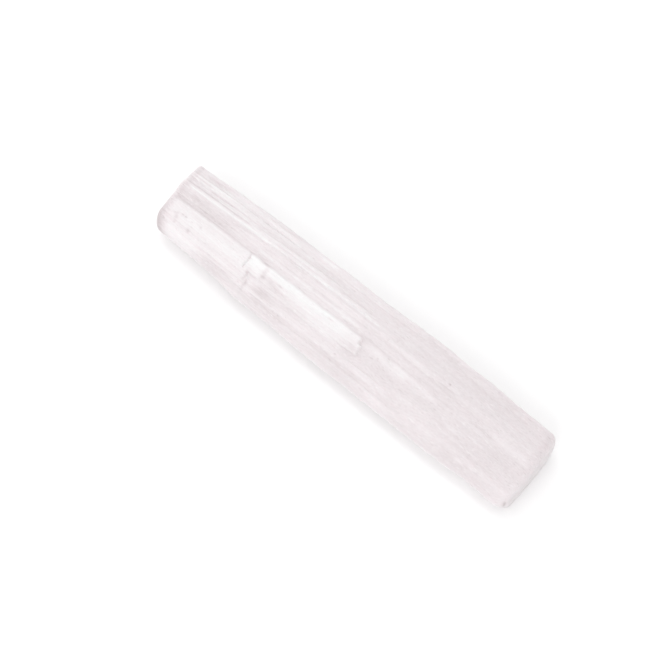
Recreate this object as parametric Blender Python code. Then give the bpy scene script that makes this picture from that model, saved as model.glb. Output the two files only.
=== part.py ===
"""A blade of satin spar, the fibrous kind of selenite (gypsum).

It is one natural piece: a bundle of parallel fibres that has split lengthwise into long flat faces and
narrow steps, with both ends sawn across and worn round. +X runs along the fibres, +Y towards the back of
the blade and +Z up. It lies on its flat underside, with the origin under its middle. Units are metres.
"""

import math
from collections import namedtuple

import bmesh
import bpy
from mathutils import Vector, noise

MM = 0.001

# Driving dimensions of the blade, without the layers that stand on its faces.
LENGTH = 150 * MM
WIDTH = 31 * MM
THICKNESS = 14 * MM

# The long edges of the crystal, in order round the section as seen from its near end (+X), starting under
# the front. Each gives its place at seven sections from the far end to the near end: y as shares of half
# the width and z as shares of the thickness. far_wear and near_wear are how round, in millimetres, the
# sawn ends are worn where the edge meets them.
Edge = namedtuple("Edge", "y z far_wear near_wear")
EDGES = {
    "front_foot": Edge((-0.72, -0.74, -0.74, -0.73, -0.69, -0.65, -0.63), (0,) * 7, 1.6, 1.6),
    "back_foot": Edge((0.46, 0.51, 0.58, 0.62, 0.68, 0.72, 0.71), (0,) * 7, 1.2, 1.8),
    "back_side": Edge(
        (0.70, 0.79, 0.87, 0.90, 0.97, 1.00, 0.99),
        (0.38, 0.42, 0.38, 0.35, 0.36, 0.38, 0.38),
        1.2,
        2.2,
    ),
    "back_crest": Edge(
        (0.67, 0.75, 0.82, 0.85, 0.93, 0.97, 0.96),
        (0.84, 0.86, 0.86, 0.86, 0.84, 0.82, 0.80),
        1.0,
        2.6,
    ),
    "ledge_top": Edge(
        (0.01, 0.10, 0.19, 0.27, 0.30, 0.30, 0.31),
        (0.97, 0.99, 1.00, 0.99, 0.97, 0.94, 0.89),
        1.0,
        1.8,
    ),
    "ledge_foot": Edge(
        (-0.27, -0.19, -0.14, -0.09, -0.03, 0.00, 0.03),
        (0.90, 0.92, 0.93, 0.92, 0.91, 0.89, 0.84),
        1.2,
        1.6,
    ),
    "shoulder": Edge(
        (-0.83, -0.84, -0.82, -0.76, -0.70, -0.65, -0.63),
        (0.82, 0.83, 0.82, 0.82, 0.80, 0.77, 0.71),
        2.3,
        2.2,
    ),
    "front_side": Edge(
        (-0.95, -0.98, -0.98, -0.97, -0.93, -0.88, -0.86),
        (0.46, 0.44, 0.42, 0.41, 0.42, 0.40, 0.38),
        2.8,
        4.2,
    ),
}

# The face that runs from each edge to the next. It is a row of strips, the lengthwise splinters that it
# split along; step is how far in millimetres neighbouring strips stand above or below each other.
Face = namedtuple("Face", "first_edge strips step")
FACES = {
    "underside": Face("front_foot", 2, 0.0),
    "lower_back": Face("back_foot", 3, 0.45),
    "back_face": Face("back_side", 3, 0.40),
    "striped_face": Face("back_crest", 8, 0.55),
    "ledge_face": Face("ledge_top", 3, 0.40),
    "bright_face": Face("ledge_foot", 6, 0.26),
    "front_face": Face("shoulder", 3, 0.40),
    "lower_front": Face("front_side", 3, 0.45),
}
EDGE_BEVEL = 0.30 * MM  # half the width of the worn flat along each long edge
RISER = 0.12 * MM  # half the width of the steep step between two strips
STRIP_WANDER = 0.62  # how far a strip's border strays from even spacing, as a share of the strip
WANDER_REACH = 46 * MM  # length over which it strays
LEVEL_REACH = 24 * MM  # length over which a strip rises and falls
LOWEST = 0.16 * MM  # the deepest that a strip lies below the face
EDGE_SWAY = 0.30 * MM  # how far the long edges stray from straight
SWAY_REACH = 17 * MM  # length over which they stray
LANE_GAP = 3.7  # steps through the random field that keep neighbouring edges, faces and strips unlike
ROW_GAP = 1.9

# Layers left standing on a face, each over some of its strips, in millimetres: where it starts and ends
# along X on each strip in turn, so that its broken ends are stepped, how far it stands out, and the length
# over which its ends run out, from a clean break to a long feather edge.
Layer = namedtuple("Layer", "face strips starts ends height run")
CLEAN = 1.0
SPLAYED = 3.0
FEATHER = 9.0
LAYERS = (
    Layer("bright_face", (0, 1, 2), (-90, -90, -90), (-39.5, -39.6, -39.4), 0.50, CLEAN),
    Layer("bright_face", (3,), (-90,), (-36.6,), 0.50, CLEAN),
    Layer("bright_face", (4,), (-90,), (-35.2,), 0.28, CLEAN),
    Layer("bright_face", (5,), (-90,), (-54,), 0.28, FEATHER),
    Layer("bright_face", (0, 1, 2), (-38.8, -38.9, -38.7), (7.2, 8.6, 9.2), 0.50, CLEAN),
    Layer("bright_face", (3,), (-32.0,), (1.0,), 0.40, FEATHER),
    Layer("bright_face", (4, 5), (-34.6, -32.8), (3.0, 24.0), 0.26, SPLAYED),
    Layer("striped_face", (0, 1), (-26, -40), (40, 24), 0.20, FEATHER),
    Layer("striped_face", (3,), (-90,), (-22,), 0.34, FEATHER),
    Layer("striped_face", (5, 6), (-63, -70), (-8, 4), 0.34, FEATHER),
    Layer("ledge_face", (0,), (-64,), (34,), 0.30, FEATHER),
    Layer("front_face", (0, 1), (-90, -90), (-53, -56), 0.40, FEATHER),
    Layer("front_face", (1, 2), (-30, -42), (38, 30), 0.34, FEATHER),
    Layer("back_face", (1, 2), (-40, -48), (52, 36), 0.45, FEATHER),
    Layer("lower_back", (0, 1), (-64, -52), (-6, 8), 0.50, FEATHER),
    Layer("lower_front", (0, 1), (-40, -26), (56, 40), 0.45, FEATHER),
)

# The sawn ends, in millimetres. The far end is cut askew, and FAR_SKEW is how much further back its front
# corner stands than its back one. The near end is worn to a low crown at y = NEAR_CROWN, which stands
# NEAR_SHORT back from half the length, and it falls away from there by NEAR_BOW in half the width.
FAR_SKEW = 3.2
NEAR_CROWN = -4.0
NEAR_SHORT = 0.7
NEAR_BOW = 0.9

PITCH = 3.4 * MM  # between sections along the plain length
MERGE = 0.45 * MM  # sections closer together than this become one
WEAR_SECTIONS = 6  # sections that follow the rounding of each end
RELIEF_FADE = 3.5 * MM  # length over which the strips fade out towards an end
HEART = 0.45  # height of the point that the ends are worn in towards, as a share of the thickness
CREASE = math.radians(16)  # edges sharper than this stay crisp in shading

STONE_COLOUR = (0.86, 0.81, 0.82, 1.0)
STONE_ROUGHNESS = 0.38


def smooth(value):
    """Ease from 0 to 1 as value goes from 0 to 1, and stay there outside."""
    value = min(1.0, max(0.0, value))
    return value * value * (3 - 2 * value)


def along(values, share):
    """A smooth curve through evenly spaced values, read at share, from -1 at the first to 1 at the last."""
    place = (share + 1) / 2 * (len(values) - 1)
    index = min(int(place), len(values) - 2)
    t = place - index
    before = values[max(index - 1, 0)]
    start, end = values[index], values[index + 1]
    after = values[min(index + 2, len(values) - 1)]
    leave, arrive = (end - before) / 2, (after - start) / 2
    bend = leave + arrive + 2 * (start - end)
    return start + leave * t + (end - start - leave - bend) * t * t + bend * t**3


def drift(x, reach, lane, row):
    """A random value, about -1 to 1, that changes slowly along the blade and differs by lane and row."""
    return noise.noise(Vector((x / reach, (lane + 0.5) * LANE_GAP, (row + 0.5) * ROW_GAP)))


def edge_point(name, share):
    """(y, z) of a long edge at a share of half the length, with its slight sway. The feet stay level."""
    edge = EDGES[name]
    number = list(EDGES).index(name)
    x = share * LENGTH / 2
    y = along(edge.y, share) * WIDTH / 2
    z = along(edge.z, share) * THICKNESS
    y += EDGE_SWAY * drift(x, SWAY_REACH, number, 0)
    if z > 0:
        z += EDGE_SWAY * drift(x, SWAY_REACH, number, 1)
    return Vector((y, z))


def strip_level(name, strip, x):
    """How far a strip of a face stands out at x, from its own rise and fall and from the layers on it."""
    face = FACES[name]
    number = list(FACES).index(name)
    level = face.step * MM * drift(x, LEVEL_REACH, number, strip)
    for layer in LAYERS:
        if layer.face == name and strip in layer.strips:
            place = layer.strips.index(strip)
            rise = smooth((x / MM - layer.starts[place]) / layer.run + 0.5)
            drop = smooth((layer.ends[place] - x / MM) / layer.run + 0.5)
            level += layer.height * MM * rise * drop
    return max(level, -LOWEST)


def strip_borders(name, x):
    """Where a face's strips meet at x, as shares of its width from 0 to 1."""
    count = FACES[name].strips
    number = list(FACES).index(name)
    inner = [(k + STRIP_WANDER * drift(x, WANDER_REACH, number, k)) / count for k in range(1, count)]
    return [0.0, *inner, 1.0]


def face_points(name, share):
    """(point, wear far, wear near) for the two lines of each strip of a face, across one section."""
    names = list(EDGES)
    first = FACES[name].first_edge
    last = names[(names.index(first) + 1) % len(names)]
    start, end = edge_point(first, share), edge_point(last, share)
    across = end - start
    outward = Vector((across.y, -across.x)).normalized()
    x = share * LENGTH / 2
    fade = smooth((1 - abs(share)) * LENGTH / 2 / RELIEF_FADE)
    borders = strip_borders(name, x)
    points = []
    for strip, (low, high) in enumerate(zip(borders, borders[1:])):
        level = strip_level(name, strip, x) * fade
        low_gap = EDGE_BEVEL if low == 0 else RISER
        high_gap = EDGE_BEVEL if high == 1 else RISER
        for place in (low + low_gap / across.length, high - high_gap / across.length):
            far = EDGES[first].far_wear * (1 - place) + EDGES[last].far_wear * place
            near = EDGES[first].near_wear * (1 - place) + EDGES[last].near_wear * place
            points.append((start + across * place + outward * level, far * MM, near * MM))
    return points


def worn(point, wear, from_end):
    """The point drawn in towards the heart of the section where the worn end rounds off."""
    if from_end >= wear:
        return point
    inset = wear - math.sqrt(wear**2 - (wear - from_end) ** 2)
    heart = Vector((0, THICKNESS * HEART))
    spoke = point - heart
    return heart + spoke * (1 - inset / spoke.length)


def lengthwise(share, y):
    """x at a share of half the length, between the two sawn ends."""
    half = LENGTH / 2
    far = FAR_SKEW * MM * (EDGES["back_side"].y[0] * WIDTH / 2 - y) / WIDTH - half
    near = half - NEAR_SHORT * MM - NEAR_BOW * MM * ((y - NEAR_CROWN * MM) / (WIDTH / 2)) ** 2
    return far + (near - far) * (share + 1) / 2


def section(share):
    """One closed ring of points round the blade, as (x, y, z), at a share of half the length."""
    from_end = (1 - abs(share)) * LENGTH / 2
    ring = []
    for name in FACES:
        for point, far_wear, near_wear in face_points(name, share):
            y, z = worn(point, far_wear if share < 0 else near_wear, from_end)
            ring.append((lengthwise(share, y), y, max(z, 0.0)))
    return ring


def section_shares():
    """Shares of half the length at which the sections lie: even along the blade, close where a layer
    breaks off cleanly, and following the rounding at both ends."""
    half = LENGTH / 2
    wear = max(max(edge.far_wear, edge.near_wear) for edge in EDGES.values()) * MM
    plain = half - wear
    places = []
    for layer in LAYERS:
        if layer.run == CLEAN:
            for x in (*layer.starts, *layer.ends):
                places += [(x - CLEAN / 2) * MM, (x + CLEAN / 2) * MM]
    places = [-plain, plain, *(x for x in places if abs(x) < plain)]
    kept = []
    for x in sorted(places):
        if kept and x - kept[-1] < MERGE:
            continue
        if kept:
            gaps = max(1, round((x - kept[-1]) / PITCH))
            start = kept[-1]
            kept += [start + (x - start) * k / gaps for k in range(1, gaps)]
        kept.append(x)
    rounding = [wear * (1 - math.cos(math.pi / 2 * k / WEAR_SECTIONS)) for k in range(WEAR_SECTIONS)]
    ends = [half - depth for depth in rounding]
    return [x / half for x in (*(-x for x in ends), *kept, *reversed(ends))]


def loft(name, rings):
    """A closed mesh object through rings of points, capped flat at both ends."""
    mesh = bmesh.new()
    loops = [[mesh.verts.new(point) for point in ring] for ring in rings]
    count = len(loops[0])
    for loop, following in zip(loops, loops[1:]):
        for k in range(count):
            after = (k + 1) % count
            mesh.faces.new((loop[k], loop[after], following[after], following[k]))
    mesh.faces.new(loops[0])
    mesh.faces.new(loops[-1])
    bmesh.ops.recalc_face_normals(mesh, faces=mesh.faces)
    data = bpy.data.meshes.new(name)
    mesh.to_mesh(data)
    mesh.free()
    data.shade_smooth()
    data.set_sharp_from_angle(angle=CREASE)
    return bpy.data.objects.new(name, data)


def stone_material():
    """Milky white fibrous gypsum with a silky surface."""
    material = bpy.data.materials.new("satin_spar")
    material.use_nodes = True
    shader = material.node_tree.nodes["Principled BSDF"]
    shader.inputs["Base Color"].default_value = STONE_COLOUR
    shader.inputs["Roughness"].default_value = STONE_ROUGHNESS
    shader.inputs["Metallic"].default_value = 0.0
    return material


def main():
    for leftover in list(bpy.data.objects):
        bpy.data.objects.remove(leftover)
    parts = bpy.data.collections.new("selenite_crystal_blade")
    bpy.context.scene.collection.children.link(parts)
    blade = loft("selenite_blade", [section(share) for share in section_shares()])
    blade.data.materials.append(stone_material())
    parts.objects.link(blade)


main()
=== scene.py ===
"""A selenite crystal blade: one long stick of satin spar, lying on its flat underside on a pale table.

+X runs along the fibres from the narrow far end to the wider and thinner near end, +Y towards the back and
+Z up. The shape is worked out in millimetres and written in metres.
"""

import math
import random
from collections import namedtuple

import bpy
import numpy as np
from mathutils import Matrix, Vector, noise


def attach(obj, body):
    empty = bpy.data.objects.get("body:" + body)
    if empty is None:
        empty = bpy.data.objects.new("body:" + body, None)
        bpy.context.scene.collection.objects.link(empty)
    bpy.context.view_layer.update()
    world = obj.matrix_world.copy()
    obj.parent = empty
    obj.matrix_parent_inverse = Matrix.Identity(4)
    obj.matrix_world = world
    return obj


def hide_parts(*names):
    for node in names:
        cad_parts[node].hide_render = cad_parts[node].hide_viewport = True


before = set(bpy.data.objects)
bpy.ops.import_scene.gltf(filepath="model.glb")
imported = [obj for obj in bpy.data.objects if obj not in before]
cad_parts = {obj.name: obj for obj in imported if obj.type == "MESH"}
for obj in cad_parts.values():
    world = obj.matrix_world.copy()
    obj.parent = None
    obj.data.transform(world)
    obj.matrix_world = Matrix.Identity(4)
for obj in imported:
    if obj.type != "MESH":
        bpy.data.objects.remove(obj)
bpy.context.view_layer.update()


# ----------------------------------------------------------------------------------------------------------
# The stick: its long edges. Satin spar is a bundle of parallel gypsum fibres, and it splits along them, so
# the long edges and the faces between them run nearly straight from one sawn end to the other.
# ----------------------------------------------------------------------------------------------------------

MM = 0.001
LENGTH = 150.0
WIDTH = 31.0
THICKNESS = 14.0

# y as shares of half the width and z as shares of the thickness, at seven sections from the far end to the
# near end, in order round the section from under the front. The wears are the radii in millimetres to which
# the sawn ends are worn there.
Edge = namedtuple("Edge", "y z far_wear near_wear")
EDGES = {
    "front_foot": Edge((-0.72, -0.74, -0.74, -0.73, -0.69, -0.65, -0.63), (0,) * 7, 1.6, 1.6),
    "back_foot": Edge((0.46, 0.51, 0.58, 0.62, 0.68, 0.72, 0.71), (0,) * 7, 1.2, 1.8),
    "back_side": Edge(
        (0.70, 0.79, 0.87, 0.90, 0.97, 1.00, 0.99),
        (0.38, 0.42, 0.38, 0.35, 0.36, 0.38, 0.38),
        1.2,
        2.2,
    ),
    "back_crest": Edge(
        (0.67, 0.75, 0.82, 0.85, 0.93, 0.97, 0.96),
        (0.84, 0.86, 0.86, 0.86, 0.84, 0.82, 0.80),
        1.0,
        2.6,
    ),
    "ledge_top": Edge(
        (0.01, 0.10, 0.19, 0.27, 0.30, 0.30, 0.31),
        (0.97, 0.99, 1.00, 0.99, 0.97, 0.94, 0.89),
        1.0,
        1.8,
    ),
    "ledge_foot": Edge(
        (-0.27, -0.19, -0.14, -0.09, -0.03, 0.00, 0.03),
        (0.90, 0.92, 0.93, 0.92, 0.91, 0.89, 0.84),
        1.2,
        1.6,
    ),
    "shoulder": Edge(
        (-0.83, -0.84, -0.82, -0.76, -0.70, -0.65, -0.63),
        (0.82, 0.83, 0.82, 0.82, 0.80, 0.77, 0.71),
        2.3,
        2.2,
    ),
    "front_side": Edge(
        (-0.95, -0.98, -0.98, -0.97, -0.93, -0.88, -0.86),
        (0.46, 0.44, 0.42, 0.41, 0.42, 0.40, 0.38),
        2.8,
        4.2,
    ),
}

# Each long edge sways slowly to and fro, and it is finely uneven where splinters have come off along it: how
# far it strays, over what length, and the rows of the noise that this is read from.
EDGE_SWAY = 0.30
SWAY_REACH = 17.0
SWAY_ACROSS_ROW = 0
SWAY_UP_ROW = 1
EDGE_CHIP = 0.14
CHIP_REACH = 2.6
CHIP_ROW = 2

# Every uneven line is read from a lane and a row of one smooth noise, which lie this far apart in it.
LANE_GAP = 3.7
ROW_GAP = 1.9

# How far apart the cross-sections lie: closer where the top layer is broken across, and closest where the
# sawn ends round off, with WEAR_SECTIONS of them to each end.
SECTION_PITCH = 0.48
BREAKS = ((-41.0, -30.0), (5.0, 12.0))
BREAK_PITCH = 0.22
WEAR_SECTIONS = 12


def along(values, shares):
    """A smooth curve through evenly spaced values, read at shares from -1 at the first to 1 at the last."""
    values = np.asarray(values, float)
    place = (shares + 1) / 2 * (len(values) - 1)
    index = np.minimum(place.astype(int), len(values) - 2)
    t = place - index
    before, start = values[np.maximum(index - 1, 0)], values[index]
    end, after = values[index + 1], values[np.minimum(index + 2, len(values) - 1)]
    leave, arrive = (end - before) / 2, (after - start) / 2
    bend = leave + arrive + 2 * (start - end)
    return start + leave * t + (end - start - leave - bend) * t**2 + bend * t**3


def drift(places, reach, lane, row):
    """Random values, about -1 to 1, that change slowly with place and differ by lane and row."""
    lane, row = (lane + 0.5) * LANE_GAP, (row + 0.5) * ROW_GAP
    return np.array([noise.noise(Vector((place / reach, lane, row))) for place in places])


def section_shares():
    """Where the cross-sections lie, as shares of half the length."""
    half = LENGTH / 2
    wear = max(max(edge.far_wear, edge.near_wear) for edge in EDGES.values())
    stops = [wear - half, *(x for pair in BREAKS for x in pair), half - wear]
    plain = []
    for k, (low, high) in enumerate(zip(stops, stops[1:])):
        pitch = BREAK_PITCH if k % 2 else SECTION_PITCH
        plain.append(np.linspace(low, high, round((high - low) / pitch), endpoint=False))
    rounding = half - wear * (1 - np.cos(np.pi / 2 * np.arange(WEAR_SECTIONS) / WEAR_SECTIONS))
    return np.concatenate([-rounding, *plain, rounding[::-1]]) / half


shares = section_shares()
stations = shares * LENGTH / 2
edge_lines = {}
for number, (name, edge) in enumerate(EDGES.items()):
    line_y = along(edge.y, shares) * WIDTH / 2
    line_y = line_y + EDGE_SWAY * drift(stations, SWAY_REACH, number, SWAY_ACROSS_ROW)
    line_y = line_y + EDGE_CHIP * drift(stations, CHIP_REACH, number, CHIP_ROW)
    line_z = along(edge.z, shares) * THICKNESS
    if max(edge.z) > 0:
        line_z = line_z + EDGE_SWAY * drift(stations, SWAY_REACH, number, SWAY_UP_ROW)
    edge_lines[name] = np.stack([line_y, line_z], axis=1)


# ----------------------------------------------------------------------------------------------------------
# The stick: its split faces. Each face is a row of lengthwise strips at slightly different levels, with
# splinters and fibres on them, and thin layers left standing whose broken ends are ragged.
# ----------------------------------------------------------------------------------------------------------

# strips and step are the coarse splitting, gap the spacing of the modelled lines, grain how strongly the
# splinters and fibres stand out, and milk how white the face is at seven sections from far to near.
Face = namedtuple("Face", "first_edge strips step gap grain milk")
FACES = {
    "underside": Face("front_foot", 2, 0.0, 0.9, 0.0, (0.48,) * 7),
    "lower_back": Face("back_foot", 3, 0.45, 0.40, 0.8, (0.48,) * 7),
    "back_face": Face("back_side", 3, 0.40, 0.30, 0.9, (0.50,) * 7),
    "striped_face": Face("back_crest", 8, 0.45, 0.20, 1.0, (0.50, 0.54, 0.52, 0.50, 0.46, 0.43, 0.42)),
    "ledge_face": Face("ledge_top", 3, 0.36, 0.22, 0.9, (0.38, 0.45, 0.48, 0.48, 0.45, 0.43, 0.42)),
    "bright_face": Face("ledge_foot", 6, 0.26, 0.20, 0.6, (0.56, 0.55, 0.47, 0.45, 0.45, 0.42, 0.40)),
    "front_face": Face("shoulder", 3, 0.40, 0.26, 0.8, (0.56, 0.50, 0.42, 0.40, 0.41, 0.41, 0.40)),
    "lower_front": Face("front_side", 3, 0.45, 0.40, 0.8, (0.50,) * 7),
}
EDGE_BEVEL = 0.30  # how far a face's outermost lines stay from its long edges
RISER = 0.12  # half the width of the step from one strip to the next
STRIP_WANDER = 0.62  # how far the border of two strips wanders, as a share of a strip
WANDER_REACH = 46.0
LEVEL_REACH = 24.0  # the length over which a strip changes its level
LOWEST = 0.16  # how deep in its face a strip may lie

# Splinters and fibres: how wide one is, how far it stands out, how long it runs, how steep its side is, how
# far that side wanders as a share of its width, and the first of the noise's lanes that it is read from.
Grain = namedtuple("Grain", "pitch step reach riser wander lane")
SPLINTERS = Grain(1.05, 0.12, 15.0, 0.09, 0.8, 60)
FIBRES = Grain(0.42, 0.045, 7.0, 0.10, 0.8, 80)
LEVEL_LANE = 0.4  # how far beside the lane of its borders the lane of its levels lies

# Along the stick the splitting grows calmer from CALM_FROM to CALM_TO, down to this share of its strength,
# and it fades out altogether within RELIEF_FADE of the sawn ends.
CALM_FROM = -46.0
CALM_TO = 14.0
CALMEST = 0.30
RELIEF_FADE = 3.5

# Layers: the strips they cover, where each starts and ends, their height, the length over which the start
# and the end run out, how much whiter the freshly split layer is, and the ragged line that its start and its
# end follow: two layers parted by one crack follow the same line.
Layer = namedtuple("Layer", "face strips starts ends height start_run end_run milk start_tear end_tear")
CLEAN = 0.7
TORN = 1.4
SPLAYED = 3.0
FEATHER = 9.0
OUT = -90.0  # the start of a layer that runs off the far end
LAYERS = (
    Layer("bright_face", (0, 1, 2), (OUT, OUT, OUT), (-39.4, -39.3, -39.1), 0.50, CLEAN, CLEAN, 0.14, 0, 1),
    Layer("bright_face", (3,), (OUT,), (-36.6,), 0.50, CLEAN, CLEAN, 0.06, 0, 1),
    Layer("bright_face", (4,), (OUT,), (-35.2,), 0.40, CLEAN, CLEAN, 0.05, 0, 1),
    Layer("bright_face", (5,), (OUT,), (-54,), 0.28, CLEAN, FEATHER, 0.05, 0, 1),
    Layer("bright_face", (0,), (-38.9,), (7.2,), 0.52, CLEAN, TORN, 0.34, 1, 2),
    Layer("bright_face", (1,), (-38.9,), (8.6,), 0.50, CLEAN, TORN, 0.26, 1, 2),
    Layer("bright_face", (2,), (-38.7,), (9.2,), 0.48, CLEAN, TORN, 0.13, 1, 2),
    Layer("bright_face", (3,), (-32.0,), (1.0,), 0.40, FEATHER, FEATHER, 0.06, 3, 2),
    Layer("bright_face", (4, 5), (-34.6, -32.8), (3.0, 24.0), 0.26, SPLAYED, SPLAYED, 0.03, 1, 4),
    Layer("striped_face", (0, 1), (-26, -40), (40, 24), 0.20, FEATHER, FEATHER, 0.03, 5, 6),
    Layer("striped_face", (3,), (OUT,), (-22,), 0.34, FEATHER, FEATHER, 0.08, 0, 7),
    Layer("striped_face", (5, 6), (-63, -70), (-8, 4), 0.34, FEATHER, FEATHER, 0.06, 0, 8),
    Layer("ledge_face", (0,), (-64,), (34,), 0.24, FEATHER, FEATHER, 0.02, 9, 10),
    Layer("front_face", (0, 1), (OUT, OUT), (-53, -56), 0.40, FEATHER, FEATHER, 0.08, 0, 12),
    Layer("front_face", (1, 2), (-30, -42), (38, 30), 0.24, FEATHER, FEATHER, 0.03, 11, 12),
    Layer("back_face", (1, 2), (-40, -48), (52, 36), 0.45, FEATHER, FEATHER, 0.06, 13, 14),
    Layer("lower_back", (0, 1), (-64, -52), (-6, 8), 0.50, FEATHER, FEATHER, 0.06, 15, 16),
    Layer("lower_front", (0, 1), (-40, -26), (56, 40), 0.45, FEATHER, FEATHER, 0.06, 17, 18),
)

# A broken end is ragged: how far its fibres reach past it or fall short, how far across the fibres those that
# reach equally far lie together, and the noise's lane, first in the coarse and then for single splinters.
RAGGED = 0.5
RAGGED_REACH = 1.6
RAGGED_LANE = 20
SPLINTERED = 0.28
SPLINTERED_REACH = 0.35
SPLINTERED_LANE = 21

# Pits: fibres plucked out of the faces, clear of the sawn ends and of the long edges: how many there are on
# each face, between which x, between which shares of the face's width, and how long, wide and deep they are.
Pit = namedtuple("Pit", "x across length width depth")
PITS_SEED = 11
PIT_COUNTS = {"bright_face": 110, "striped_face": 60, "ledge_face": 25, "front_face": 30, "back_face": 30}
PIT_STRETCH = (3.0 - LENGTH / 2, LENGTH / 2 - 6.0)
PIT_SHARES = (0.05, 0.95)
PIT_LENGTHS = (0.35, 1.3)
PIT_WIDTHS = (0.13, 0.30)
PIT_DEPTHS = (0.06, 0.20)

CREVICE_REACH = 0.7  # how far to each side a place is compared with, to tell crevices from ridges
CREVICE_DEPTH = 0.16  # how much lower than that a place lies which counts as fully hollow


def smooth(value):
    """Ease from 0 to 1 as value goes from 0 to 1."""
    value = np.clip(value, 0.0, 1.0)
    return value * value * (3 - 2 * value)


def set_in(value, limits):
    """0 before the first limit, 1 after the second, and eased between them."""
    return smooth((value - limits[0]) / (limits[1] - limits[0]))


def strip_weights(across, width, borders, riser):
    """How far each line lies on each strip, as sections by lines by strips: 1 on it, 0 off it."""
    past_border = across[..., None] - borders[:, None, :] * width[:, None, None]
    edges = smooth(past_border / (2 * riser) + 0.5)
    ones = np.ones((*across.shape, 1))
    edges = np.concatenate([ones, edges, 0 * ones], axis=2)
    return edges[..., :-1] - edges[..., 1:]


def strip_borders(count, wander, reach, lane):
    """Where a face's strips meet, as shares of its width, section by section."""
    borders = [(k + wander * drift(stations, reach, lane, k)) / count for k in range(1, count)]
    return np.stack(borders, axis=1)


def grain_relief(grain, across, width, lane):
    """The height of one family of splinters or fibres over a face."""
    lane = lane + grain.lane
    count = max(2, round(width.mean() / grain.pitch))
    borders = strip_borders(count, grain.wander, 2 * grain.reach, lane)
    levels = [drift(stations, grain.reach, lane + LEVEL_LANE, k) for k in range(count)]
    weights = strip_weights(across, width, borders, grain.riser)
    return grain.step * (weights * np.stack(levels, axis=1)[:, None, :]).sum(axis=2)


def torn_line(middle, tear):
    """How far past a broken end the fibres reach, line by line across a face."""
    coarse = RAGGED * drift(middle, RAGGED_REACH, RAGGED_LANE, tear)
    return coarse + SPLINTERED * drift(middle, SPLINTERED_REACH, SPLINTERED_LANE, tear)


def coarse_relief(name, lane, across, width, calm):
    """The height of a face's strips and layers, and how milky its layers make it."""
    face = FACES[name]
    levels = [face.step * calm * drift(stations, LEVEL_REACH, lane, k) for k in range(face.strips)]
    heights = np.repeat(np.stack(levels, axis=1)[:, None, :], across.shape[1], axis=1)
    milk = np.zeros_like(heights)
    middle = across[len(stations) // 2]
    for layer in LAYERS:
        if layer.face != name:
            continue
        start_slip = torn_line(middle, layer.start_tear)
        end_slip = torn_line(middle, layer.end_tear)
        for strip, start, end in zip(layer.strips, layer.starts, layer.ends):
            rise = smooth((stations[:, None] - start - start_slip) / layer.start_run + 0.5)
            drop = smooth((end - stations[:, None] + end_slip) / layer.end_run + 0.5)
            heights[:, :, strip] += layer.height * rise * drop
            milk[:, :, strip] += layer.milk * rise * drop
    heights = np.maximum(heights, -LOWEST)
    borders = strip_borders(face.strips, STRIP_WANDER, WANDER_REACH, lane)
    weights = strip_weights(across, width, borders, RISER)
    return (weights * heights).sum(axis=2), (weights * milk).sum(axis=2)


def pit_relief(name, across, width, chance):
    """How deep the plucked-out pits of a face are."""
    depth = np.zeros_like(across)
    for _ in range(PIT_COUNTS.get(name, 0)):
        pit = Pit(
            chance.uniform(*PIT_STRETCH),
            chance.uniform(*PIT_SHARES) * width.mean(),
            chance.uniform(*PIT_LENGTHS),
            chance.uniform(*PIT_WIDTHS),
            chance.uniform(*PIT_DEPTHS),
        )
        far = ((stations[:, None] - pit.x) / pit.length) ** 2 + ((across - pit.across) / pit.width) ** 2
        depth = np.maximum(depth, pit.depth * np.exp(-far))
    return depth


def crevices(height, gap):
    """Positive where a place lies lower than what is beside it, negative on a ridge, -1 to 1."""
    reach = max(1, round(CREVICE_REACH / gap))
    padded = np.pad(height, ((0, 0), (reach, reach)), mode="edge")
    totals = np.cumsum(np.pad(padded, ((0, 0), (1, 0))), axis=1)
    around = (totals[:, 2 * reach + 1 :] - totals[:, : -2 * reach - 1]) / (2 * reach + 1)
    return np.clip((around - height) / CREVICE_DEPTH, -1, 1)


def face_lines(name, lane, chance):
    """One face's lines, each value as sections by lines: y and z of the plain face, how high its relief
    stands, how round the sawn end is worn, how milky it is, how hollow, and how lively its grain."""
    face = FACES[name]
    names = list(EDGES)
    first, last = face.first_edge, names[(names.index(face.first_edge) + 1) % len(names)]
    start, end = edge_lines[first], edge_lines[last]
    run = end - start
    width = np.hypot(run[:, 0], run[:, 1])
    count = max(3, round(width.mean() / face.gap))
    bevel = EDGE_BEVEL / width[:, None]
    place = bevel + (1 - 2 * bevel) * np.linspace(0, 1, count)[None, :]
    across = place * width[:, None]
    calm = 1 - (1 - CALMEST) * set_in(stations, (CALM_FROM, CALM_TO))
    height, milk = coarse_relief(name, lane, across, width, calm)
    if face.grain > 0:
        fine = grain_relief(SPLINTERS, across, width, lane) + grain_relief(FIBRES, across, width, lane)
        height = height + face.grain * fine * calm[:, None]
    height = height - pit_relief(name, across, width, chance)
    from_end = (1 - np.abs(shares)) * LENGTH / 2
    height = height * smooth(from_end / RELIEF_FADE)[:, None]
    far_wear = EDGES[first].far_wear * (1 - place) + EDGES[last].far_wear * place
    near_wear = EDGES[first].near_wear * (1 - place) + EDGES[last].near_wear * place
    return (
        start[:, :1] + run[:, :1] * place,
        start[:, 1:] + run[:, 1:] * place,
        height,
        np.where(shares[:, None] < 0, far_wear, near_wear),
        milk + along(face.milk, shares)[:, None],
        crevices(height, face.gap),
        np.broadcast_to(calm[:, None], height.shape),
    )


def joined_faces():
    """The lines of all faces side by side, and each long edge's name with the number of its first line."""
    chance = random.Random(PITS_SEED)
    parts = [face_lines(name, lane, chance) for lane, name in enumerate(FACES)]
    first_lines = np.cumsum([0] + [part[0].shape[1] for part in parts])
    corners = [(face.first_edge, line) for face, line in zip(FACES.values(), first_lines)]
    return [np.concatenate(rows, axis=1) for rows in zip(*parts)], corners


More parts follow.
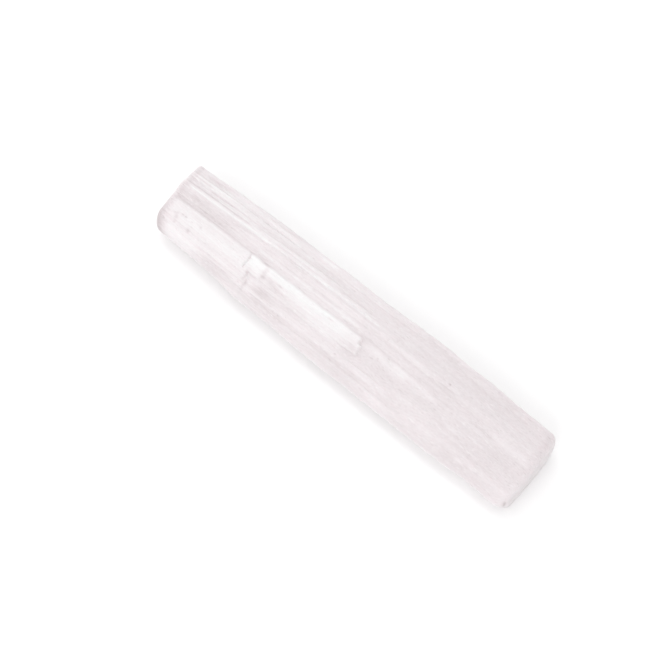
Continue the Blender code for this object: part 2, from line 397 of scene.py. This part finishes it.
# ----------------------------------------------------------------------------------------------------------
# The stick: its veins and spots. Air between the fibres makes some bundles whiter, others are packed tight
# and clearer, and darker patches and bands lie on it, with painted shade on the far front corner, along the
# near rim and, in part, beside a neighbouring stick.
# ----------------------------------------------------------------------------------------------------------

# Veins: bundles of whiter fibres, or clearer ones where milk is negative, that show on the upper faces. Each
# runs from x_from, y_from to x_to, y_to, and width is half of what it takes up across.
Vein = namedtuple("Vein", "x_from x_to y_from y_to width milk")
VEINS = (
    Vein(-69, -38, 1.8, 3.4, 0.36, 0.34),
    Vein(-38, -14, 3.4, 4.5, 0.32, 0.16),
    Vein(-14, 8, 4.5, 5.2, 0.28, 0.30),
    Vein(8, 12, 5.2, 5.3, 0.30, 0.12),
    Vein(-69, -44, 4.3, 5.3, 0.36, 0.18),
    Vein(-71, -58, 6.6, 7.2, 0.40, 0.16),
    Vein(-60, -51, 8.4, 9.2, 0.80, 0.18),
    Vein(-20, -16, 11.6, 11.8, 0.60, 0.22),
    Vein(-36, 3, -0.2, 0.8, 0.45, 0.18),
    Vein(-58, -40, -0.7, 0.1, 0.35, 0.10),
    Vein(-15, -8, -0.9, -0.6, 0.30, 0.14),
    Vein(11, 24, -1.8, -2.4, 1.40, 0.16),
    Vein(22, 36, -1.0, -2.0, 0.80, 0.12),
    Vein(-14, 4, -4.4, -5.0, 1.20, 0.08),
    Vein(-9, 4, -7.3, -7.9, 0.80, 0.13),
    Vein(60, 72, 1.7, 2.1, 1.00, 0.10),
    Vein(21, 28, -13.2, -13.6, 0.80, 0.14),
    Vein(-66, -57, -12.6, -13.2, 1.60, 0.10),
    Vein(-37, -32, -12.6, -12.9, 0.40, 0.16),
    Vein(-73, -47, 2.9, 4.2, 0.27, -0.36),
    Vein(-73, -66, 5.9, 6.1, 0.32, -0.22),
    Vein(-67, -61, 8.9, 9.8, 0.50, -0.18),
    Vein(-73, -45, 0.3, 1.4, 0.40, -0.08),
    Vein(-72, -52, -1.8, -0.8, 1.60, -0.06),
    Vein(-46, -30, 8.8, 9.4, 0.40, 0.14),
    Vein(-48, -36, 6.6, 7.4, 0.30, -0.12),
    Vein(-70, -36, -3.3, -2.2, 0.24, -0.14),
    Vein(7, 11, -1.1, -1.2, 0.60, -0.10),
    Vein(8, 42, -0.2, -0.4, 0.26, -0.14),
    Vein(-8, 52, 3.0, 2.2, 0.30, -0.06),
    Vein(14, 66, 7.4, 7.0, 0.50, 0.05),
    Vein(26, 58, -7.4, -7.0, 0.60, 0.05),
    Vein(36, 40, 3.6, 3.7, 0.26, -0.16),
    Vein(51, 58, 0.4, 0.6, 0.35, -0.12),
    Vein(50, 68, -11.8, -12.2, 0.60, -0.08),
)

# Spots: darker, clearer patches, a few of them painted shade, and white bruises where milk is positive.
# length and width are half of what each takes up.
Spot = namedtuple("Spot", "x y length width milk")
SPOTS = (
    Spot(-66.9, -7.9, 0.7, 0.6, -0.30),
    Spot(-66.2, -9.3, 0.6, 0.7, -0.30),
    Spot(-65.6, -10.8, 0.5, 0.7, -0.26),
    Spot(-65.0, -7.3, 0.6, 0.4, -0.45),
    Spot(-63.6, -7.3, 0.5, 0.4, -0.45),
    Spot(-60.8, -7.4, 0.5, 0.3, -0.36),
    Spot(-59.8, -10.4, 0.7, 0.8, -0.32),
    Spot(-57.3, -7.0, 0.5, 0.4, -0.45),
    Spot(-36.0, -4.2, 1.8, 1.3, 0.16),
    Spot(-32.4, -2.7, 1.5, 0.45, -0.50),
    Spot(-30.9, -4.4, 0.8, 1.2, -0.36),
    Spot(-30.3, -6.4, 1.0, 0.9, -0.42),
    Spot(-35.2, -6.9, 2.0, 0.6, -0.14),
    Spot(-27.0, -6.0, 3.0, 1.0, -0.30),
    Spot(-22.6, -6.9, 3.4, 0.8, -0.24),
    Spot(-26.8, -10.4, 3.6, 2.2, -0.18),
    Spot(-28.8, -9.6, 1.2, 0.8, -0.08),
    Spot(-35.6, -8.4, 0.5, 1.1, -0.26),
    Spot(-34.8, -10.2, 0.5, 1.0, -0.34),
    Spot(-33.4, -12.2, 0.5, 1.5, -0.26),
    Spot(-23.6, -5.3, 1.2, 0.25, -0.40),
    Spot(-4.0, -3.1, 1.6, 0.25, -0.36),
    # in part painted shadow of a neighbouring stick over the front, in part a stain
    Spot(-46.0, -13.2, 7.0, 1.6, -0.16),
    # painted shade: the next two darken the far front corner, where shade falls on its worn rounding
    Spot(-70.4, -14.0, 3.0, 2.2, -0.54),
    Spot(-73.0, -12.2, 2.0, 3.0, -0.26),
    Spot(-71.2, -8.6, 2.0, 3.6, -0.14),
    Spot(5.6, -4.4, 3.6, 3.4, -0.12),
    Spot(7.6, -6.0, 2.8, 1.0, -0.12),
    Spot(-34.0, -5.0, 2.4, 0.9, 0.10),
    Spot(47.5, -5.2, 2.2, 0.4, 0.18),
    Spot(56.0, -3.4, 2.4, 0.4, 0.14),
    Spot(55.0, -10.6, 1.6, 0.4, 0.18),
    Spot(37.7, 5.3, 0.30, 0.26, -0.80),
    Spot(73.7, -10.8, 0.4, 0.4, -0.80),
)

# Each sawn end's rim has a darker band across the fibres, at the near end painted shade: how far it lies from
# the end, half its width, between which y it sets in, and how much greyer it is.
Band = namedtuple("Band", "from_end width y_gone y_full milk")
FAR_BAND = Band(2.0, 1.0, -12.0, -4.0, -0.14)
# painted shade: the worn near rim faces away from the light, darker at the back and fading out to the front
NEAR_RIM_PAINTED_SHADE = Band(1.6, 1.5, -8.0, 6.0, -0.10)

# The heights between which the marks of the upper faces set in. The spots reach lower down the rims.
VEIN_HEIGHTS = (6.0, 9.0)
SPOT_HEIGHTS = (3.0, 6.5)


def vein_milk(x, y, z):
    """How much whiter the veins make each place."""
    total = np.zeros_like(x)
    for vein in VEINS:
        share = np.clip((x - vein.x_from) / (vein.x_to - vein.x_from), 0, 1)
        middle = vein.y_from + (vein.y_to - vein.y_from) * share
        beyond = np.maximum(vein.x_from - x, x - vein.x_to).clip(0) / (1 + vein.width)
        total += vein.milk * np.exp(-(((y - middle) / vein.width) ** 2) - beyond**2)
    return total * set_in(z, VEIN_HEIGHTS)


def spot_milk(x, y, z):
    """How much whiter the spots make each place."""
    total = np.zeros_like(x)
    for spot in SPOTS:
        total += spot.milk * np.exp(-(((x - spot.x) / spot.length) ** 2) - ((y - spot.y) / spot.width) ** 2)
    return total * set_in(z, SPOT_HEIGHTS)


def band_milk(y, z, from_end):
    """How much greyer the darker bands near the sawn ends make each place; the near one is painted shade."""
    total = np.zeros_like(y)
    for band, side in ((FAR_BAND, shares < 0), (NEAR_RIM_PAINTED_SHADE, shares > 0)):
        across = set_in(y, (band.y_gone, band.y_full))
        nearby = np.exp(-(((from_end - band.from_end) / band.width) ** 2))
        total += band.milk * across * side[:, None] * nearby
    return total * set_in(z, VEIN_HEIGHTS)


# ----------------------------------------------------------------------------------------------------------
# The stick: its sawn ends. Both were cut across the fibres a little askew and have worn round, so the
# splitting fades out over the last few millimetres, and the cut shows the ends of the fibres.
# ----------------------------------------------------------------------------------------------------------

FAR_SKEW = 3.2  # how far askew the far cut is over the width of the stick
NEAR_CROWN = -4.0  # the y at which the near end reaches furthest
NEAR_SHORT = 0.7  # how far it falls short of half the length there
NEAR_BOW = 0.9  # how much further it falls short half a width beside that
HEART = 0.45  # the height of a section's heart, as a share of the thickness
CAP_RINGS = 14  # rings of points from the rim of a cut to its heart
CAP_GRAIN = 0.05  # how uneven the ends of the fibres leave the cut
CAP_GRAIN_REACH = 0.55
CAP_GRAIN_LANE = 5.0
CAP_MILK = 0.42  # how white the cut is
SAWN_RIM = 1.2  # the roughness of the cut fades out over this distance from the ends
PALE_RIM = 4.0  # and the pale wear of the rims over this one


def lengthwise(share, y):
    """x at a share of half the length, between the skewed far end and the low crown of the near one."""
    far = FAR_SKEW * (EDGES["back_side"].y[0] * WIDTH / 2 - y) / WIDTH - LENGTH / 2
    near = LENGTH / 2 - NEAR_SHORT - NEAR_BOW * ((y - NEAR_CROWN) / (WIDTH / 2)) ** 2
    return far + (near - far) * (share + 1) / 2


def worn(y, z, wear, from_end):
    """The section drawn in towards its heart where the worn end rounds off."""
    short = np.clip(wear - from_end, 0, None)
    inset = np.where(short > 0, wear - np.sqrt(np.maximum(wear**2 - short**2, 0)), 0)
    reach = np.hypot(y, z - THICKNESS * HEART)
    shrink = 1 - inset / reach
    return y * shrink, THICKNESS * HEART + (z - THICKNESS * HEART) * shrink


def sawn_end(end, y, z, milk, calm):
    """The rings of points that close one sawn end, from its rim to its heart, with their marks. end is the
    number of its section, 0 for the far end and -1 for the near one."""
    points, marks = [], []
    inward = 1 if end == 0 else -1
    for ring in range(1, CAP_RINGS + 1):
        scale = 1 - ring / CAP_RINGS
        cap_y = y[end] * scale
        cap_z = THICKNESS * HEART + (z[end] - THICKNESS * HEART) * scale
        if ring == CAP_RINGS:
            cap_y, cap_z = cap_y[:1], cap_z[:1]
        grain = [
            noise.noise(Vector((a / CAP_GRAIN_REACH, b / CAP_GRAIN_REACH, CAP_GRAIN_LANE + end)))
            for a, b in zip(cap_y, cap_z)
        ]
        cap_x = lengthwise(shares[end], cap_y) + inward * CAP_GRAIN * (0.5 + np.array(grain))
        cap_milk = milk[end][: len(cap_y)] * scale + CAP_MILK * (1 - scale)
        ones = np.ones_like(cap_y)
        points.append(np.stack([cap_x, cap_y, cap_z], axis=1))
        marks.append(np.stack([cap_milk, 0 * ones, ones, calm[end][0] * ones], axis=1))
    return points, marks


# ----------------------------------------------------------------------------------------------------------
# The stick: its skin. The long edges between the split faces are worn round, and the sawn ends close it, so
# that the stick is one solid piece of stone.
# ----------------------------------------------------------------------------------------------------------

# How round the long edges are worn, as the radius in millimetres of what is smoothed away round each.
SOFT = {
    "front_foot": 0.8,
    "back_foot": 0.8,
    "back_side": 1.2,
    "back_crest": 0.45,
    "ledge_top": 0.30,
    "ledge_foot": 0.25,
    "shoulder": 1.8,
    "front_side": 1.8,
}

# A flat layout of the skin, which tells the silky gloss which way the fibres run: the side of the square that
# it fits in, the gap above the faces, and how far apart the two sawn ends lie in it.
LAYOUT_SIDE = 154.0
LAYOUT_GAP = 4.0
ENDS_APART = LAYOUT_SIDE / 3


def soften(y, z, corners):
    """The section with its long edges worn round, how far round it each line lies, and its whole girth."""
    step = np.hypot(np.diff(y, axis=1, append=y[:, :1]), np.diff(z, axis=1, append=z[:, :1])).mean(axis=0)
    girth = step.sum()
    round_at = np.concatenate([[0], np.cumsum(step)[:-1]])
    share = (step + np.roll(step, 1)) / 2
    gap = np.abs(round_at[:, None] - round_at[None, :])
    gap = np.minimum(gap, girth - gap)
    soft_y, soft_z = y.copy(), z.copy()
    for name, line in corners:
        radius = SOFT[name]
        kernel = np.exp(-((gap / radius) ** 2)) * share[None, :]
        kernel /= kernel.sum(axis=1, keepdims=True)
        near = np.exp(-((gap[line] / (2 * radius)) ** 4))
        soft_y += near * (y @ kernel.T - y)
        soft_z += near * (z @ kernel.T - z)
    return soft_y, soft_z, round_at, girth


def raised(y, z, height):
    """The section with its relief standing out square to its faces."""
    run_y = np.roll(y, -1, axis=1) - np.roll(y, 1, axis=1)
    run_z = np.roll(z, -1, axis=1) - np.roll(z, 1, axis=1)
    run = np.hypot(run_y, run_z)
    return y + height * run_z / run, z - height * run_y / run


def skin_faces(sections, lines):
    """The quads along the stick, then the rings and the fan of each sawn end, as numbers of points."""
    faces = []
    k = np.arange(lines)
    after = (k + 1) % lines

    def join(low, high, flip=False):
        quads = np.stack([low + k, low + after, high + after, high + k], axis=1)
        faces.extend((quads[:, ::-1] if flip else quads).tolist())

    for section in range(sections - 1):
        join(section * lines, (section + 1) * lines)
    cap = sections * lines
    for low, flip in ((0, True), ((sections - 1) * lines, False)):
        for _ in range(CAP_RINGS - 1):
            join(low, cap, flip)
            low = cap
            cap += lines
        fan = np.stack([low + k, low + after, np.full(lines, cap)], axis=1)
        faces.extend((fan[:, ::-1] if flip else fan).tolist())
        cap += 1
    return faces


def lay_out(mesh, round_at, girth, body_faces):
    """The flat layout: u along the fibres and v round the section, with the sawn ends above."""
    lines = len(round_at)
    corner = np.zeros(len(mesh.loops), np.int32)
    mesh.loops.foreach_get("vertex_index", corner)
    points = np.zeros(3 * len(mesh.vertices), np.float32)
    mesh.vertices.foreach_get("co", points)
    x, y, z = (points.reshape(-1, 3)[corner] / MM).T
    u, v = x + LAYOUT_SIDE / 2, round_at[corner % lines]
    body = 4 * body_faces
    last_line = np.arange(body_faces) % lines == lines - 1
    wraps = np.tile([False, True, True, False], body_faces) & np.repeat(last_line, 4)
    v[:body][wraps] = girth
    cap = np.arange(len(corner)) >= body
    u[cap] = y[cap] + WIDTH + np.where(x[cap] > 0, ENDS_APART, 0)
    v[cap] = z[cap] + girth + LAYOUT_GAP
    layout = mesh.uv_layers.new(name="OFBake")
    layout.data.foreach_set("uv", (np.stack([u, v], axis=1) / LAYOUT_SIDE).astype(np.float32).ravel())


def blade_mesh():
    """The stick's closed skin, with how milky, hollow, sawn and lively each point is."""
    (y, z, height, wear, milk, hollow, calm), corners = joined_faces()
    y, z, round_at, girth = soften(y, z, corners)
    y, z = raised(y, z, height)
    from_end = (1 - np.abs(shares[:, None])) * LENGTH / 2
    y, z = worn(y, z, wear, from_end)
    z = np.maximum(z, 0.0)
    x = lengthwise(shares[:, None], y)
    sawn = smooth(1 - from_end / SAWN_RIM) * np.ones_like(y)
    pale = smooth(1 - from_end / PALE_RIM) * np.ones_like(y)
    milk = (milk + vein_milk(x, y, z)) * (1 - pale) + CAP_MILK * pale
    milk = milk + spot_milk(x, y, z) + band_milk(y, z, from_end)

    points = [np.stack([x, y, z], axis=2).reshape(-1, 3)]
    marks = [np.stack([milk, hollow, sawn, calm], axis=2).reshape(-1, 4)]
    for end in (0, -1):
        end_points, end_marks = sawn_end(end, y, z, milk, calm)
        points.extend(end_points)
        marks.extend(end_marks)

    sections, lines = y.shape
    mesh = bpy.data.meshes.new("selenite_blade_crystal")
    mesh.from_pydata((np.concatenate(points) * MM).tolist(), [], skin_faces(sections, lines))
    marks = np.concatenate(marks).astype(np.float32)
    for column, name in enumerate(("milk", "hollow", "sawn", "lively")):
        mesh.attributes.new(name, "FLOAT", "POINT").data.foreach_set("value", marks[:, column].copy())
    lay_out(mesh, round_at, girth, (sections - 1) * lines)
    mesh.shade_smooth()
    return mesh


blade = bpy.data.objects.new("blade_crystal", blade_mesh())
bpy.context.scene.collection.objects.link(blade)


# ----------------------------------------------------------------------------------------------------------
# The stick: its stone. White gypsum, milky where air lies between the fibres and greyer and clearer where
# they are packed tight, with a silky gloss. Light soaks in a few millimetres and glows back.
# ----------------------------------------------------------------------------------------------------------

# Streaks of whiter and clearer fibres: how long and how wide one is in millimetres, how much whiter, its
# place in the noise, and how finely it breaks up.
Streak = namedtuple("Streak", "length width white seed detail")
BROAD = Streak(34.0, 1.9, 0.12, 0.0, 3.0)
FINE = Streak(12.0, 0.55, 0.24, 1.0, 3.0)
HAIR = Streak(5.0, 0.20, 0.16, 2.0, 3.0)
CLOUD = Streak(16.0, 3.4, 0.16, 3.0, 3.0)
MOTTLE = Streak(1.1, 0.36, 0.20, 5.0, 3.0)
FLECK = Streak(2.6, 0.45, 1.60, 9.0, 1.5)
DARK_FLECK = Streak(1.6, 0.34, 1.80, 14.0, 1.5)
FLECKS_ABOVE = 0.60  # only the peaks of the noise past this show as flecks
STREAK_ROUGHNESS = 0.6  # how strong the finer parts of a streak are
# painted shade: how much darker the crevices are painted, and how much lighter the ridges
CREVICE_PAINTED_SHADE = 0.08  # how much greyer the crevices are

# The colour of the stone from clear and grey to milky and white.
STONE_COLOURS = (
    (0.00, (0.620, 0.555, 0.565)),
    (0.50, (0.850, 0.795, 0.810)),
    (1.00, (0.985, 0.970, 0.975)),
)

# The gloss: how rough the silk is, what the fine streaks and the sawn ends add to that, and how much longer
# along the fibres than across them its highlights are.
SILK_ROUGH = 0.30
FINE_ROUGH = 0.20
SAWN_ROUGH = 0.22
SILK_STRETCH = 0.5

# How far, in millimetres, the streaks and the flecks stand out where they are strongest.
FINE_HEIGHT = 0.034
HAIR_HEIGHT = 0.018
FLECK_HEIGHT = 0.030

# The body of the stone: how much of the light soaks in, how deep it goes for red, green and blue, how much
# passes clean through, and the refractive index of gypsum.
GLOW = 0.6
GLOW_DEPTH = 3.0 * MM
GLOW_COLOURS = (1.0, 0.92, 0.94)
CLEARNESS = 0.12
GYPSUM_IOR = 1.52


def streak_group():
    """Streaks through the stone, long along X and thin across it, so that a cut shows their ends."""
    tree = bpy.data.node_groups.new("fibre_streaks", "ShaderNodeTree")
    tree.interface.new_socket("Place", in_out="INPUT", socket_type="NodeSocketVector")
    for name, value in (("Length", 10.0), ("Width", 1.0), ("Seed", 0.0), ("Detail", 3.0)):
        socket = tree.interface.new_socket(name, in_out="INPUT", socket_type="NodeSocketFloat")
        socket.default_value = value
    tree.interface.new_socket("Streak", in_out="OUTPUT", socket_type="NodeSocketFloat")
    come, go = tree.nodes.new("NodeGroupInput"), tree.nodes.new("NodeGroupOutput")
    size = tree.nodes.new("ShaderNodeCombineXYZ")
    tree.links.new(come.outputs["Length"], size.inputs["X"])
    tree.links.new(come.outputs["Width"], size.inputs["Y"])
    tree.links.new(come.outputs["Width"], size.inputs["Z"])
    shape = tree.nodes.new("ShaderNodeVectorMath")
    shape.operation = "DIVIDE"
    tree.links.new(come.outputs["Place"], shape.inputs[0])
    tree.links.new(size.outputs[0], shape.inputs[1])
    cloud = tree.nodes.new("ShaderNodeTexNoise")
    cloud.noise_dimensions = "4D"
    cloud.inputs["Scale"].default_value = 1.0
    cloud.inputs["Roughness"].default_value = STREAK_ROUGHNESS
    tree.links.new(shape.outputs[0], cloud.inputs["Vector"])
    tree.links.new(come.outputs["Seed"], cloud.inputs["W"])
    tree.links.new(come.outputs["Detail"], cloud.inputs["Detail"])
    tree.links.new(cloud.outputs["Fac"], go.inputs["Streak"])
    return tree


def spar_material():
    """The stone itself."""
    material = bpy.data.materials.new("satin_spar_silk")
    material.use_nodes = True
    tree = material.node_tree
    shader = tree.nodes["Principled BSDF"]
    streaks = streak_group()

    def new(kind, **settings):
        made = tree.nodes.new(kind)
        for key, value in settings.items():
            setattr(made, key, value)
        return made

    def maths(operation, *values, clamp=False):
        made = new("ShaderNodeMath", operation=operation, use_clamp=clamp)
        for socket, value in zip(made.inputs, values):
            if isinstance(value, (int, float)):
                socket.default_value = value
            else:
                tree.links.new(value, socket)
        return made.outputs[0]

    def mark(name):
        return new("ShaderNodeAttribute", attribute_name=name).outputs["Fac"]

    def streak(kind):
        made = new("ShaderNodeGroup")
        made.node_tree = streaks
        tree.links.new(place, made.inputs["Place"])
        for name in ("length", "width", "seed", "detail"):
            made.inputs[name.capitalize()].default_value = getattr(kind, name)
        return made.outputs["Streak"]

    def swing(noise_value, kind):
        return maths("MULTIPLY", maths("SUBTRACT", noise_value, 0.5), 2 * kind.white)

    def flecks(kind):
        return maths("SUBTRACT", streak(kind), FLECKS_ABOVE, clamp=True)

    coordinates = new("ShaderNodeTexCoord")
    millimetres = new("ShaderNodeVectorMath", operation="SCALE")
    millimetres.inputs["Scale"].default_value = 1 / MM
    tree.links.new(coordinates.outputs["Object"], millimetres.inputs[0])
    place = millimetres.outputs[0]

    # How white it is: streaks, with painted shade in the hollows and painted light on the ridges, where the
    # grain is lively, then clouds, mottling and flecks.
    broad, fine, hair = streak(BROAD), streak(FINE), streak(HAIR)
    lively = maths("ADD", swing(broad, BROAD), swing(fine, FINE))
    lively = maths("ADD", lively, swing(hair, HAIR))
    # painted shade: the crevices are darkened and the ridges lightened
    lively = maths("SUBTRACT", lively, maths("MULTIPLY", mark("hollow"), CREVICE_PAINTED_SHADE))
    white = maths("MULTIPLY_ADD", lively, mark("lively"), mark("milk"))
    white = maths("ADD", white, swing(streak(CLOUD), CLOUD))
    white = maths("ADD", white, swing(streak(MOTTLE), MOTTLE))
    peaks = flecks(FLECK)
    white = maths("MULTIPLY_ADD", peaks, FLECK.white, white)
    white = maths("MULTIPLY_ADD", flecks(DARK_FLECK), -DARK_FLECK.white, white)

    ramp = new("ShaderNodeValToRGB")
    ramp.color_ramp.elements.remove(ramp.color_ramp.elements[1])
    for number, (at, colour) in enumerate(STONE_COLOURS):
        stop = ramp.color_ramp.elements[0] if number == 0 else ramp.color_ramp.elements.new(at)
        stop.position = at
        stop.color = (*colour, 1)
    tree.links.new(white, ramp.inputs["Fac"])
    tree.links.new(ramp.outputs["Color"], shader.inputs["Base Color"])

    rough = maths("MULTIPLY_ADD", fine, FINE_ROUGH, SILK_ROUGH)
    rough = maths("MULTIPLY_ADD", mark("sawn"), SAWN_ROUGH, rough)
    tree.links.new(rough, shader.inputs["Roughness"])

    height = maths("MULTIPLY_ADD", hair, HAIR_HEIGHT, maths("MULTIPLY", fine, FINE_HEIGHT))
    height = maths("MULTIPLY_ADD", peaks, FLECK_HEIGHT, height)
    bump = new("ShaderNodeBump")
    bump.inputs["Distance"].default_value = MM
    bump.inputs["Strength"].default_value = 1.0
    tree.links.new(height, bump.inputs["Height"])
    tree.links.new(bump.outputs["Normal"], shader.inputs["Normal"])

    fibres = new("ShaderNodeTangent", direction_type="UV_MAP", uv_map="OFBake")
    tree.links.new(fibres.outputs["Tangent"], shader.inputs["Tangent"])
    shader.inputs["Anisotropic"].default_value = SILK_STRETCH
    shader.inputs["IOR"].default_value = GYPSUM_IOR
    shader.inputs["Subsurface Weight"].default_value = GLOW
    shader.inputs["Subsurface Radius"].default_value = GLOW_COLOURS
    shader.inputs["Subsurface Scale"].default_value = GLOW_DEPTH
    shader.inputs["Transmission Weight"].default_value = CLEARNESS
    return material


blade.data.materials.append(spar_material())
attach(blade, "root")
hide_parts("selenite_blade")


# ----------------------------------------------------------------------------------------------------------
# The table: a wide sheet of matt white card, so that the stick lies on a plain pale ground.
# ----------------------------------------------------------------------------------------------------------

TABLE_SIDE = 8.0
CARD_WHITE = (0.96, 0.96, 0.96, 1.0)
CARD_ROUGH = 0.9

card = bpy.data.meshes.new("table_card")
side = TABLE_SIDE / 2
card_corners = [(-side, -side, 0), (side, -side, 0), (side, side, 0), (-side, side, 0)]
card.from_pydata(card_corners, [], [(0, 1, 2, 3)])
table = bpy.data.objects.new("table_card", card)
bpy.context.scene.collection.objects.link(table)
card_white = bpy.data.materials.new("card_white")
card_white.use_nodes = True
card_white.node_tree.nodes["Principled BSDF"].inputs["Base Color"].default_value = CARD_WHITE
card_white.node_tree.nodes["Principled BSDF"].inputs["Roughness"].default_value = CARD_ROUGH
card.materials.append(card_white)


# ----------------------------------------------------------------------------------------------------------
# The studio: an even white surround, a softbox high over the back, one low at the far left, and a wide
# stronger one in front. They all face the stick.
# ----------------------------------------------------------------------------------------------------------

SURROUND = 0.915

# Where each softbox hangs, in degrees and metres from the stick, the side of its square, and its watts.
Lamp = namedtuple("Lamp", "name azimuth elevation distance side watts")
LAMPS = (
    Lamp("overhead_softbox", 235, 73, 0.80, 0.34, 0.6),
    Lamp("far_left_softbox", 255, 32, 0.80, 0.45, 0.6),
    Lamp("front_softbox", 15, 38, 0.90, 0.60, 1.7),
)

surround = bpy.data.worlds.new("white_surround")
bpy.context.scene.world = surround
surround.use_nodes = True
surround.node_tree.nodes["Background"].inputs["Color"].default_value = (1, 1, 1, 1)
surround.node_tree.nodes["Background"].inputs["Strength"].default_value = SURROUND


def towards(azimuth, elevation):
    """The direction from the stick to something at that azimuth and elevation in degrees. Azimuth 0 is in
    front, towards -Y, and 90 towards +X."""
    a, e = math.radians(azimuth), math.radians(elevation)
    return Vector((math.sin(a) * math.cos(e), -math.cos(a) * math.cos(e), math.sin(e)))


for lamp in LAMPS:
    light = bpy.data.lights.new(lamp.name, "AREA")
    light.size = lamp.side
    light.energy = lamp.watts
    holder = bpy.data.objects.new(lamp.name, light)
    away = towards(lamp.azimuth, lamp.elevation)
    holder.location = away * lamp.distance
    holder.rotation_euler = away.to_track_quat("Z", "Y").to_euler()
    bpy.context.scene.collection.objects.link(holder)


# ----------------------------------------------------------------------------------------------------------
# The camera: a long lens, looking steeply down on the stick from the front right.
# ----------------------------------------------------------------------------------------------------------

CAMERA_AZIMUTH = 42.6
CAMERA_ELEVATION = 64.0
CAMERA_DISTANCE = 0.494
LENS = 85.0
SENSOR = 36.0
AIM = Vector((3.0, -0.4, 6.8)) * MM  # this point of the stick shows at AIM_PIXEL of the square picture
AIM_PIXEL = (353.2, 336.8)
PICTURE_SIDE = 665

back = towards(CAMERA_AZIMUTH, CAMERA_ELEVATION)
right = Vector((-back.y, back.x, 0)).normalized()
up = back.cross(right)
pixel = CAMERA_DISTANCE * SENSOR / LENS / PICTURE_SIDE
beside = (AIM_PIXEL[0] - PICTURE_SIDE / 2) * pixel
below = (AIM_PIXEL[1] - PICTURE_SIDE / 2) * pixel
eye = AIM - right * beside + up * below + back * CAMERA_DISTANCE
lens = bpy.data.cameras.new("camera")
lens.lens = LENS
lens.sensor_width = SENSOR
camera = bpy.data.objects.new("camera", lens)
camera.matrix_world = Matrix.Translation(eye) @ Matrix((right, up, back)).transposed().to_4x4()
bpy.context.scene.collection.objects.link(camera)
bpy.context.scene.camera = camera
bpy.context.scene.view_settings.view_transform = "Standard"
